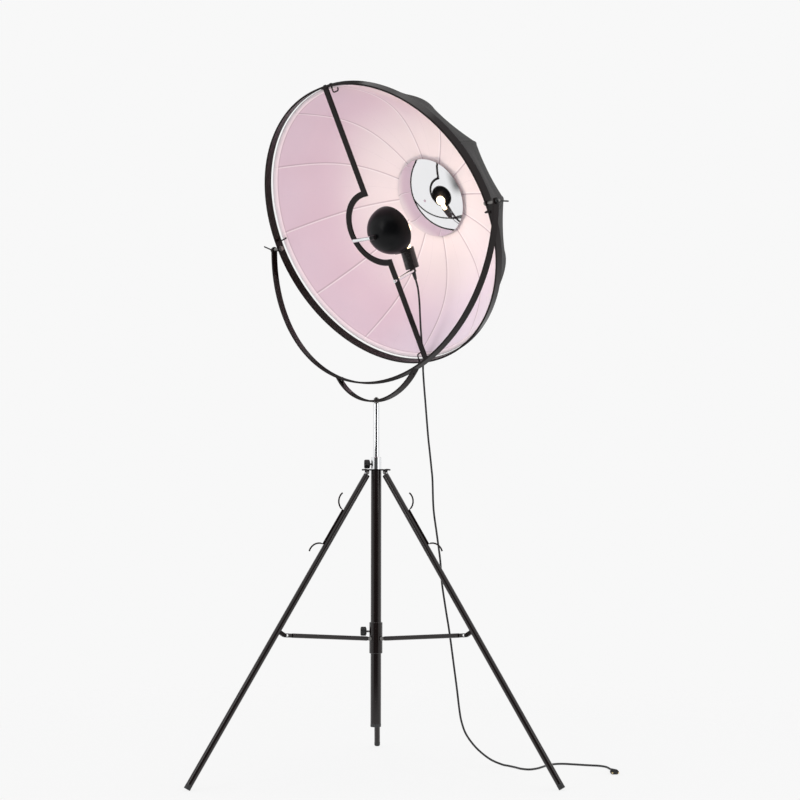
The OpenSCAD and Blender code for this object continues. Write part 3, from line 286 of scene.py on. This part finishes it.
def hem_binding(name):
    """Tape wrapped round the hem hoop: an ellipse, wider than high, swept round the ring. UV is
    arc length round the ring by a fixed step per side, which starts on the outside."""
    columns, sides = 192, 14
    place, normal = rib_curve(0.0)
    turn = 2 * math.pi * np.arange(sides) / sides
    ellipse = [TAPE_OUT + TAPE_HALF_WIDTH * np.cos(turn), TAPE_HALF_HEIGHT * np.sin(turn)]
    radius, height = (place + HOOP_LIFT * normal + np.stack(ellipse, -1)).T
    angle = 2 * math.pi * np.arange(columns)[:, None] / columns
    height = np.broadcast_to(height, (columns, sides))
    points = np.stack([radius * np.cos(angle), radius * np.sin(angle), height], -1)
    quads = grid_quads(columns, sides, wrap_rows=True)
    r, c = np.divmod(np.arange(len(quads)), sides)
    arc = 2 * math.pi * HEM_RADIUS / columns
    uv = np.stack([np.stack([(r + i) * arc, (c + j) * TAPE_STEP], -1) for i, j in CORNERS], 1)
    return put_mesh(name, in_head(points.reshape(-1, 3)), quads, uv=uv)


# ---- Shader maths ----

class Wire:
    """A shader socket that takes part in sums: every operator adds its Math node."""

    def __init__(self, finish, socket):
        self.finish, self.socket = finish, socket

    def __add__(self, other):
        return self.finish.maths("ADD", self, other)

    def __sub__(self, other):
        return self.finish.maths("SUBTRACT", self, other)

    def __rsub__(self, other):
        return self.finish.maths("SUBTRACT", other, self)

    def __mul__(self, other):
        return self.finish.maths("MULTIPLY", self, other)

    def __truediv__(self, other):
        return self.finish.maths("DIVIDE", self, other)

    __radd__ = __add__
    __rmul__ = __mul__


class Finish:
    """A material or world in the making. node() adds any node; most other calls are shorthand
    for it."""

    def __init__(self, name, world=None):
        self.data = world or bpy.data.materials.new(name)
        self.data.use_nodes = True
        self.tree = self.data.node_tree
        self.tree.nodes.clear()

    def node(self, kind, inputs=None, out=0, **settings):
        made = self.tree.nodes.new(kind)
        for key, value in settings.items():
            setattr(made, key, value)
        for key, value in (inputs or {}).items():
            if isinstance(value, Wire):
                self.tree.links.new(value.socket, made.inputs[key])
            else:
                made.inputs[key].default_value = value
        return Wire(self, made.outputs[out])

    def maths(self, operation, *values):
        return self.node("ShaderNodeMath", dict(enumerate(values)), operation=operation)

    def vector(self, operation, *values, out=0):
        inputs = dict(enumerate(values))
        return self.node("ShaderNodeVectorMath", inputs, operation=operation, out=out)

    def mix(self, share, low, high):
        return self.node("ShaderNodeMix", {0: share, 6: low, 7: high}, out=2, data_type="RGBA")

    def places(self):
        return self.node("ShaderNodeTexCoord", out="Object")

    def uv_pair(self):
        return self.apart(self.node("ShaderNodeUVMap", uv_map="UVMap"))[:2]

    def apart(self, vector):
        """The three numbers of a vector."""
        x = self.node("ShaderNodeSeparateXYZ", {0: vector})
        return [Wire(self, socket) for socket in x.socket.node.outputs]

    def noise(self, places, scale, detail=2.0, rough=0.5):
        inputs = {"Vector": places, "Scale": scale, "Detail": detail, "Roughness": rough}
        return self.node("ShaderNodeTexNoise", inputs, out="Fac")

    def ramp(self, value, low, high):
        inputs = {"Value": value, "From Min": low, "From Max": high}
        return self.node("ShaderNodeMapRange", inputs, interpolation_type="SMOOTHSTEP")

    def band(self, value, low, in_by, out_from, high):
        """1 between in_by and out_from, 0 below low and above high, with smooth flanks."""
        return self.ramp(value, low, in_by) * (1 - self.ramp(value, out_from, high))

    def ripple(self, value, pitch):
        """Sine wave of the given pitch."""
        return self.maths("SINE", value * (2 * math.pi / pitch))

    def point_value(self, name):
        return self.node("ShaderNodeAttribute", attribute_name=name, out="Fac")

    def bump(self, height, strength, distance, normal=None):
        inputs = {"Height": height, "Strength": strength, "Distance": distance}
        if normal:
            inputs["Normal"] = normal
        return self.node("ShaderNodeBump", inputs)

    def skin(self, **inputs):
        """Ends the material in one Principled surface."""
        named = {key.replace("_", " "): four(value) if isinstance(value, tuple) else value
                 for key, value in inputs.items()}
        self.end(self.node("ShaderNodeBsdfPrincipled", named))
        return self.data

    def end(self, surface):
        kind = "World" if isinstance(self.data, bpy.types.World) else "Material"
        last = self.tree.nodes.new("ShaderNodeOutput" + kind)
        self.tree.links.new(surface.socket, last.inputs["Surface"])


def four(colour):
    """A colour of three numbers with its alpha of 1."""
    return (*colour, 1)


# ---- Finishes ----

DUST = (0.25, 0.23, 0.22)
BLOOM = (0.07, 0.07, 0.072)


def gloss_paint(name, colour=(0.006, 0.0028, 0.0028), rough=0.13, coat=0.0):
    """Sprayed gloss paint: orange peel as a faint bump, thin dust and hazed patches in the gloss.
    Coat is the share of a clear, sharp top layer."""
    f = Finish(name)
    at = f.places()
    peel = f.noise(at, 900.0, 1.0)
    haze = f.noise(at, 9.0, 4.0, 0.6)
    specks = f.ramp(f.noise(at, 420.0, 2.0), 0.66, 0.74)
    return f.skin(
        Base_Color=f.mix(specks * 0.02 + haze * 0.008, four(colour), four(DUST)),
        Roughness=rough + haze * 0.10 + specks * 0.2, Specular_IOR_Level=0.18,
        Coat_Weight=coat, Coat_Roughness=0.05, Normal=f.bump(peel, 0.06, 0.0004))


def polished_metal(name, colour=(0.86, 0.87, 0.88), rough=0.035, lines=(1.0, 1.0, 0.02)):
    """Bright plating: hairlines drawn along one direction and faint smears in the gloss."""
    f = Finish(name)
    at = f.places()
    hair = f.noise(f.vector("MULTIPLY", at, lines), 1400.0, 2.0)
    smear = f.noise(at, 14.0, 3.0, 0.6)
    smeared = (colour[0] * 0.82, colour[1] * 0.83, colour[2] * 0.86)
    return f.skin(
        Base_Color=f.mix(smear * 0.25, four(colour), four(smeared)),
        Metallic=1.0, Roughness=rough + smear * 0.04 + f.ramp(hair, 0.6, 0.8) * 0.05,
        Normal=f.bump(hair, 0.03, 0.0002))


def dull_metal(name, colour, rough):
    """Zinc-plated or oiled steel: soft blotches and fine grain."""
    f = Finish(name)
    at = f.places()
    blotch = f.noise(at, 60.0, 4.0, 0.6)
    grain = f.noise(at, 2400.0, 1.0)
    blotched = tuple(c * 1.6 for c in colour)
    return f.skin(
        Base_Color=f.mix(blotch, four(colour), four(blotched)),
        Metallic=1.0, Roughness=rough + blotch * 0.15, Normal=f.bump(grain, 0.12, 0.0002))


def moulded_plastic(name, colour, rough, grain_scale=1600.0, grain=0.12, shine=0.5):
    """Injection-moulded plastic: fine spark-eroded grain and slight wear in the gloss."""
    f = Finish(name)
    at = f.places()
    texture = f.noise(at, grain_scale, 2.0)
    wear = f.noise(at, 45.0, 3.0, 0.6)
    worn = tuple(min(1, c * 1.6 + 0.002) for c in colour)
    return f.skin(
        Base_Color=f.mix(f.ramp(wear, 0.45, 0.8) * 0.5, four(colour), four(worn)),
        Roughness=rough + wear * 0.12, Specular_IOR_Level=shine,
        Normal=f.bump(texture, grain, 0.0003))


def rubber(name, colour=(0.014, 0.014, 0.015), rough=0.5):
    """Flexible rubber or cord jacket: dull, with a bloom of lighter dust."""
    f = Finish(name)
    at = f.places()
    bloom = f.noise(at, 55.0, 4.0, 0.65)
    skin = f.noise(at, 1800.0, 2.0)
    return f.skin(
        Base_Color=f.mix(f.ramp(bloom, 0.4, 0.85) * 0.3, four(colour), four(BLOOM)),
        Roughness=rough + bloom * 0.15, Normal=f.bump(skin, 0.18, 0.0003))


def weave_height(f, across, along, pitch):
    """Plain weave: two sets of round threads whose heights trade places at each crossing."""
    u, v = across * (math.pi / pitch), along * (math.pi / pitch)
    over = f.maths("SINE", u) * f.maths("SINE", v)
    warp = f.maths("ABSOLUTE", f.maths("SINE", u * 2.0))
    weft = f.maths("ABSOLUTE", f.maths("SINE", v * 2.0))
    share = over * 0.5 + 0.5
    return warp * share + weft * (1 - share)


PINK, LILAC, CREAM, PAINTED_BULB_LIGHT = (
    (0.74, 0.575, 0.67), (0.86, 0.76, 0.86), (0.86, 0.72, 0.67), (0.90, 0.82, 0.82))
# Colours of the painted shade and painted highlight beside each seam's welt
SEAM_PAINTED_SHADE, SEAM_PAINTED_HIGHLIGHT = (0.42, 0.30, 0.36), (0.98, 0.92, 0.94)
HEM_STITCH, HEM_BORDER = (0.50, 0.38, 0.44), (0.97, 0.84, 0.88)
LINING_THREADS = 0.0011


def lining_finish():
    """Smooth pale lining: pink on the left, lilac low on the right, cream on the right and paler
    towards the dome, a painted pool of the bulb's light. A pale border runs along the hem, and
    beside each seam a painted highlight and a line of painted shade."""
    f = Finish("lining_fabric")
    across, along = f.uv_pair()
    seam, share = f.point_value("seam"), f.point_value("rib_share")
    at = f.places()
    from_centre = f.vector("SUBTRACT", at, tuple(head_centre))
    side = f.vector("DOT_PRODUCT", from_centre, tuple(pivots), out=1)
    rise = f.vector("DOT_PRODUCT", from_centre, tuple(upward), out=1)
    cloud = f.noise(at, 3.2, 2.0, 0.5) * 0.16 - 0.08
    lilac = f.ramp(side - rise * 0.7 + cloud, 0.0, 0.42)
    cream = f.ramp(side + rise * 0.35 + share * 0.12 + cloud, 0.12, 0.46)
    # Painted light: the lining grows paler towards the dome, where the bulb's light pools
    glow = f.ramp(share + cloud, 0.22, 0.70)
    colour = f.mix(lilac, four(PINK), four(LILAC))
    colour = f.mix(cream, colour, four(CREAM))
    colour = f.mix(glow * 0.8, colour, four(PAINTED_BULB_LIGHT))
    # Painted shade on one side of each seam's welt and a painted highlight on the other
    shaded = f.band(seam, -0.0062, -0.0040, -0.0016, 0.0002)
    light = f.band(seam, -0.0010, 0.0008, 0.0030, 0.0046)
    stitch = f.band(along, 0.0104, 0.0118, 0.0134, 0.0150)
    border = 1 - f.ramp(along, 0.0100, 0.0116)
    colour = f.mix(shaded * 0.55, colour, four(SEAM_PAINTED_SHADE))
    colour = f.mix(light * 0.6, colour, four(SEAM_PAINTED_HIGHLIGHT))
    colour = f.mix(stitch * 0.5, colour, four(HEM_STITCH))
    colour = f.mix(border * 0.75, colour, four(HEM_BORDER))
    weave = weave_height(f, across, along, LINING_THREADS)
    normal = f.bump(weave, 0.10, 0.0002, f.bump(f.noise(at, 26.0, 3.0), 0.12, 0.004))
    return f.skin(Base_Color=colour, Roughness=0.72, Sheen_Weight=0.1, Normal=normal)


COVER_DARK, COVER_GREY, COVER_STITCH = (
    (0.015, 0.0135, 0.0135), (0.034, 0.030, 0.030), (0.10, 0.095, 0.095))
TWILL_PITCH = 0.0016
STITCH_PITCH = 0.0042
STITCH_FROM_SEAM = 0.0045


def cover_finish():
    """Black outer cloth: tight twill, a stitched line on both sides of each seam and greyer
    stretched patches."""
    f = Finish("cover_fabric")
    across, along = f.uv_pair()
    seam = f.point_value("seam")
    twill = f.ripple(across + along, TWILL_PITCH) * 0.5 + 0.5
    pull = f.noise(f.places(), 18.0, 4.0, 0.6)
    from_line = f.maths("ABSOLUTE", f.maths("ABSOLUTE", seam) - STITCH_FROM_SEAM)
    dashes = f.ramp(f.ripple(along, STITCH_PITCH), -0.2, 0.3)
    stitch = (1 - f.ramp(from_line, 0.0004, 0.0011)) * dashes
    colour = f.mix(twill * 0.4 + pull * 0.4, four(COVER_DARK), four(COVER_GREY))
    colour = f.mix(stitch * 0.6, colour, four(COVER_STITCH))
    normal = f.bump(twill + stitch * 0.8, 0.25, 0.0003, f.bump(pull, 0.3, 0.004))
    return f.skin(Base_Color=colour, Roughness=0.7, Specular_IOR_Level=0.2, Sheen_Weight=0.04,
                  Normal=normal)


TAPE_DARK, TAPE_GREY, TAPE_PALE = (0.03, 0.026, 0.027), (0.07, 0.06, 0.062), (0.90, 0.78, 0.82)
TAPE_RIB_PITCH = 0.0012


def binding_finish():
    """Tape round the hem, with fine cross ribs: pale like the lining in front, black on the
    outside and at the back."""
    f = Finish("hem_tape")
    along, girth = f.uv_pair()
    ribs = f.ripple(along, TAPE_RIB_PITCH) * 0.5 + 0.5
    spots = f.noise(f.places(), 30.0, 3.0)
    front = f.band(girth, 0.0014, 0.0022, 0.0078, 0.0086)
    black = f.mix(spots * 0.3 + ribs * 0.3, four(TAPE_DARK), four(TAPE_GREY))
    return f.skin(Base_Color=f.mix(front, black, four(TAPE_PALE)),
                  Roughness=0.65, Normal=f.bump(ribs, 0.2, 0.0003))


def bulb_finish():
    """Frosted glass lit from inside by its filament."""
    f = Finish("bulb_glass")
    frost = f.noise(f.places(), 300.0, 2.0)
    return f.skin(Base_Color=(0.95, 0.90, 0.80), Roughness=0.35 + frost * 0.1,
                  Emission_Color=(1.0, 0.72, 0.42), Emission_Strength=4.0)


finishes = {
    "black_paint": gloss_paint("black_paint"),
    "tube_paint": gloss_paint("tube_paint", coat=0.6),
    "chrome": polished_metal("chrome"),
    "mirror_dome": polished_metal("mirror_dome", (0.90, 0.90, 0.91), 0.02, (1.0, 1.0, 1.0)),
    "dark_steel": dull_metal("dark_steel", (0.16, 0.155, 0.15), 0.32),
    "leg_plug": dull_metal("leg_plug", (0.55, 0.55, 0.56), 0.28),
    "knob_plastic": moulded_plastic("knob_plastic", (0.012, 0.012, 0.012), 0.22),
    "cap_plastic": moulded_plastic("cap_plastic", (0.024, 0.024, 0.025), 0.45),
    "guide_plastic": moulded_plastic("guide_plastic", (0.78, 0.78, 0.76), 0.4),
    "foot_rubber": rubber("foot_rubber"),
    "bowl_black": moulded_plastic(
        "bowl_black", (0.002, 0.0022, 0.0028), 0.26, grain_scale=2200.0, grain=0.04, shine=0.16),
    "socket_plastic": moulded_plastic(
        "socket_plastic", (0.014, 0.012, 0.012), 0.2, grain_scale=2000.0, grain=0.05),
    "bulb_glass": bulb_finish(),
    "cord_rubber": rubber("cord_rubber", (0.010, 0.010, 0.011), 0.42),
    "plug_plastic": moulded_plastic("plug_plastic", (0.012, 0.012, 0.012), 0.35),
    "pin_brass": polished_metal("pin_brass", (0.78, 0.62, 0.32), 0.12),
    "lining_fabric": lining_finish(),
    "cover_fabric": cover_finish(),
}


def dress(thing, slot):
    thing.data.materials.clear()
    thing.data.materials.append(finishes[slot])


# ---- The CAD nodes ----

SHARP_ANGLE = math.radians(32.0)
WELD_DISTANCE = 0.00001
TUBES = (
    "column", "collar", "leg_tube_a", "leg_tube_b", "leg_tube_c", "strut_a", "strut_b", "strut_c")


def soft_edges():
    """Geometry nodes: every face smooth, then every edge sharper than the angle kept sharp."""
    group = bpy.data.node_groups.new("soft_edges", "GeometryNodeTree")
    group.interface.new_socket("Geometry", in_out="INPUT", socket_type="NodeSocketGeometry")
    group.interface.new_socket("Geometry", in_out="OUTPUT", socket_type="NodeSocketGeometry")
    start, stop = group.nodes.new("NodeGroupInput"), group.nodes.new("NodeGroupOutput")
    faces = group.nodes.new("GeometryNodeSetShadeSmooth")
    edges = group.nodes.new("GeometryNodeSetShadeSmooth")
    edges.domain = "EDGE"
    edges.inputs["Shade Smooth"].default_value = False
    angle = group.nodes.new("GeometryNodeInputMeshEdgeAngle")
    sharp = group.nodes.new("FunctionNodeCompare")
    sharp.operation = "GREATER_THAN"
    sharp.inputs[1].default_value = SHARP_ANGLE
    group.links.new(angle.outputs[0], sharp.inputs[0])
    group.links.new(sharp.outputs[0], edges.inputs["Selection"])
    group.links.new(start.outputs[0], faces.inputs["Geometry"])
    group.links.new(faces.outputs[0], edges.inputs["Geometry"])
    group.links.new(edges.outputs[0], stop.inputs[0])
    return group


smoothing = soft_edges()
slot_of = {part["node"]: part["material_slot"] for part in frame["record"]["subparts"]}
for node_name, node in frame["nodes"].items():
    dress(node, "tube_paint" if node_name in TUBES else slot_of[node_name])
    node.modifiers.new("Weld", "WELD").merge_threshold = WELD_DISTANCE
    node.modifiers.new("Edges", "NODES").node_group = smoothing

# ---- Pieces in place of the soft solids ----

lining = cloth_shell("lining_cloth", 0.0, CLOTH, LINING_WELT, LINING_WELT_WIDTH, outside=False)
dress(lining, "lining_fabric")
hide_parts("lining")
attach(lining, "head")

cover = cloth_shell(
    "cover_cloth", COVER_LIFT, COVER_LIFT + CLOTH, COVER_WELT, COVER_WELT_WIDTH, outside=True)
dress(cover, "cover_fabric")
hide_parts("cover")
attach(cover, "head")

tape = hem_binding("hem_tape")
tape.data.materials.append(binding_finish())
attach(tape, "head")

for piece, holder, extras in ((lining, "hem_hoop", []), (cover, "ribs", [tape])):
    faces = np.zeros(len(piece.data.polygons))
    piece.data.polygons.foreach_get("area", faces)

# ---- The cord ----

def from_millimetres(route):
    return np.array(route) / 1000


in_reflector = in_head(from_millimetres([
    [0, -214.8, -87.5], [0, -231.7, -85.7], [-1, -252, -82], [-2, -290, -68.5], [-4, -340, -47],
    [-8, -390, -29], [-14, -430, -20], [-18, -452, -18.6], [-20, -464, -20.9], [-21, -473, -23]]))
below_ring = from_millimetres([[155, 190, 1300]])
tilt_route = from_millimetres([
    [153, 190, 1282], [156, 189, 1230], [161, 187, 1165], [169, 183, 1060]])
turn_route = from_millimetres([[174, 180, 1010], [180, 177, 950]])
slide_route = from_millimetres([
    [183, 174, 913], [186, 170, 820], [196, 165, 740], [207, 160, 653], [212, 157, 581],
    [225, 153, 490], [236, 150, 420], [251, 146, 304], [259, 144, 241], [266, 142, 180],
    [273, 140, 140]])
floor_route = from_millimetres([
    [288, 140, 100], [320, 140, 58], [362, 140, 24], [400, 140, 7], [422, 130, 3.5],
    [440, 100, 3.5], [456, 70, 3.5], [480, 56, 3.5], [506, 75, 3.5], [525, 105, 3.5],
    [546, 140, 3.5], [570, 165, 3.5], [600, 172, 3.5], [640, 157, 3.5], [680, 140, 3.5],
    [708, 130, 3.5], [727, 108, 3.5], [733, 75, 3.5], [734, 45, 5], [734, 25, 8], [734, 12, 8]])
# Each stretch: its CAD node, its points, the bodies it runs between, and what it ends in
stretches = [
    ("cord_upper", np.vstack([in_reflector, below_ring]), ["head"], ["strain_relief"]),
    ("cord_tilt", tilt_route, ["head", "yoke"], []),
    ("cord_turn", turn_route, ["yoke", "mast"], []),
    ("cord_slide", slide_route, ["mast", "stand"], []),
    ("cord_floor", floor_route, ["stand"], ["plug", "plug_pins"])]
CURVE_STEPS = 6
whole = smooth_route(np.vstack([points for _, points, _, _ in stretches]), CURVE_STEPS)
begin = 0
for label, points, bodies, fittings in stretches:
    spans = len(points) - 1 if begin == 0 else len(points)
    stop = begin + CURVE_STEPS * spans
    path = whole[begin:stop + 1]
    begin = stop
    flex = tube(label + "_flex", path, CORD / 2)
    dress(flex, "cord_rubber")
    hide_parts(label)
    if len(bodies) == 1:
        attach(flex, bodies[0])
    else:
        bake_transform(flex)

# ---- Camera, floor and light ----

CAMERA_LENS = 64.19
CAMERA_PLACE = (0.038, -4.498, 0.692)
CAMERA_UP = math.radians(5.93)
CAMERA_RIGHT = math.radians(0.473)
PAPER = 0.938           # how white the backdrop is to the eye
WORLD_LIGHT = 0.96      # how strongly it lights the object
FLAG_DEPTH = 0.93       # how much of the white a dark flag takes away in mirrors
FLOOR_HALF = 6.0
FLOOR_PAPER_SHARE = 0.88
FLOOR_FADE = (1.2, 3.2)     # distances between which the floor fades out
BULB_CENTRE = (0.0, -0.0468, -0.1058)   # in the head's frame
BULB_RADIUS = 0.028
BULB_POWER = 0.7

scene = bpy.context.scene
scene.view_settings.view_transform = "Standard"
camera = put_object("camera", bpy.data.cameras.new("camera"))
camera.data.lens = CAMERA_LENS
camera.data.sensor_width = 36.0
camera.data.clip_end = 60.0
camera.location = CAMERA_PLACE
camera.rotation_euler = (math.radians(90) + CAMERA_UP, 0.0, -CAMERA_RIGHT)
scene.camera = camera


def seen_rays(f):
    """Three masks: camera, glossy and transmitted rays together, camera rays and glossy rays.
    All are 0 on the rays that light the object."""
    rays = f.node("ShaderNodeLightPath").socket.node.outputs
    direct, mirrored, through = (
        Wire(f, rays[key]) for key in ("Is Camera Ray", "Is Glossy Ray", "Is Transmission Ray"))
    seen = f.maths("MAXIMUM", f.maths("MAXIMUM", direct, mirrored), through)
    return seen, direct, mirrored


def studio_world():
    """White all round for what is seen or mirrored, with two dark flags that only mirrors show: a
    wide one in front, as high as the lamp, and a narrow one behind it. A plain level lights the
    object."""
    world = bpy.data.worlds.new("studio")
    scene.world = world
    f = Finish("studio", world)
    x, y, z = f.apart(f.node("ShaderNodeTexCoord", out="Generated"))
    front = (0.0 - y) / f.maths("SQRT", x * x + y * y + 0.0001)
    wide = f.ramp(front, 0.62, 0.80) * f.band(z, -0.75, -0.55, 0.42, 0.60)
    flag = f.maths("MAXIMUM", wide, f.ramp(0.0 - front, 0.93, 0.97))
    seen, direct, mirrored = seen_rays(f)
    strength = seen * PAPER + (1 - seen) * WORLD_LIGHT
    dark = flag * mirrored * (1 - direct)
    f.end(f.node("ShaderNodeBackground",
                 {"Color": (1, 1, 1, 1), "Strength": strength * (1 - dark * FLAG_DEPTH)}))


def floor_finish():
    """Pale floor: nearly all paper white to the eye, so that only a faint shadow shows, and a
    plain matt white to the light. Far from the lamp it fades out."""
    f = Finish("floor_paper")
    seen, _, _ = seen_rays(f)
    matt = f.node("ShaderNodeBsdfDiffuse", {"Color": (0.86, 0.86, 0.86, 1)})
    paper = f.node("ShaderNodeEmission", {"Color": (1, 1, 1, 1), "Strength": PAPER})
    clear = f.node("ShaderNodeBsdfTransparent")
    far = f.ramp(f.vector("LENGTH", f.places(), out=1), *FLOOR_FADE)
    face = f.node("ShaderNodeMixShader", {0: seen * FLOOR_PAPER_SHARE, 1: matt, 2: paper})
    f.end(f.node("ShaderNodeMixShader", {0: far, 1: face, 2: clear}))
    return f.data


def softbox(name, place, target, width, height, brightness):
    """Rectangular lamp whose face shines at the given brightness, turned to the target."""
    data = bpy.data.lights.new(name, "AREA")
    data.shape, data.size, data.size_y = "RECTANGLE", width, height
    data.energy = brightness * math.pi * width * height
    lamp = put_object(name, data)
    lamp.location = place
    aim = unit(np.array(target, float) - np.array(place, float))
    lamp.rotation_euler = Vector(aim).to_track_quat("-Z", "Y").to_euler()


floor_corners = FLOOR_HALF * np.array([[-1, -1, 0], [1, -1, 0], [1, 1, 0], [-1, 1, 0]], float)
floor = put_mesh("floor", floor_corners, [[0, 1, 2, 3]], smooth=False)
floor.data.materials.append(floor_finish())
studio_world()

softbox("key", (-3.0, -3.1, 2.4), (0, 0, 1.2), 0.7, 2.2, 4.0)
softbox("fill", (3.1, -2.9, 2.0), (0, 0, 1.1), 0.6, 2.2, 3.0)
softbox("top", (0.2, 0.3, 4.6), (0, 0, 0), 2.4, 2.4, 1.0)

# The bulb's own warm light, let out through its glass
glow = put_object("bulb_light", bpy.data.lights.new("bulb_light", "POINT"))
glow.location = in_head(BULB_CENTRE)
glow.data.energy = BULB_POWER
glow.data.color = (1.0, 0.90, 0.82)
glow.data.shadow_soft_size = BULB_RADIUS
frame["nodes"]["bulb"].visible_shadow = False
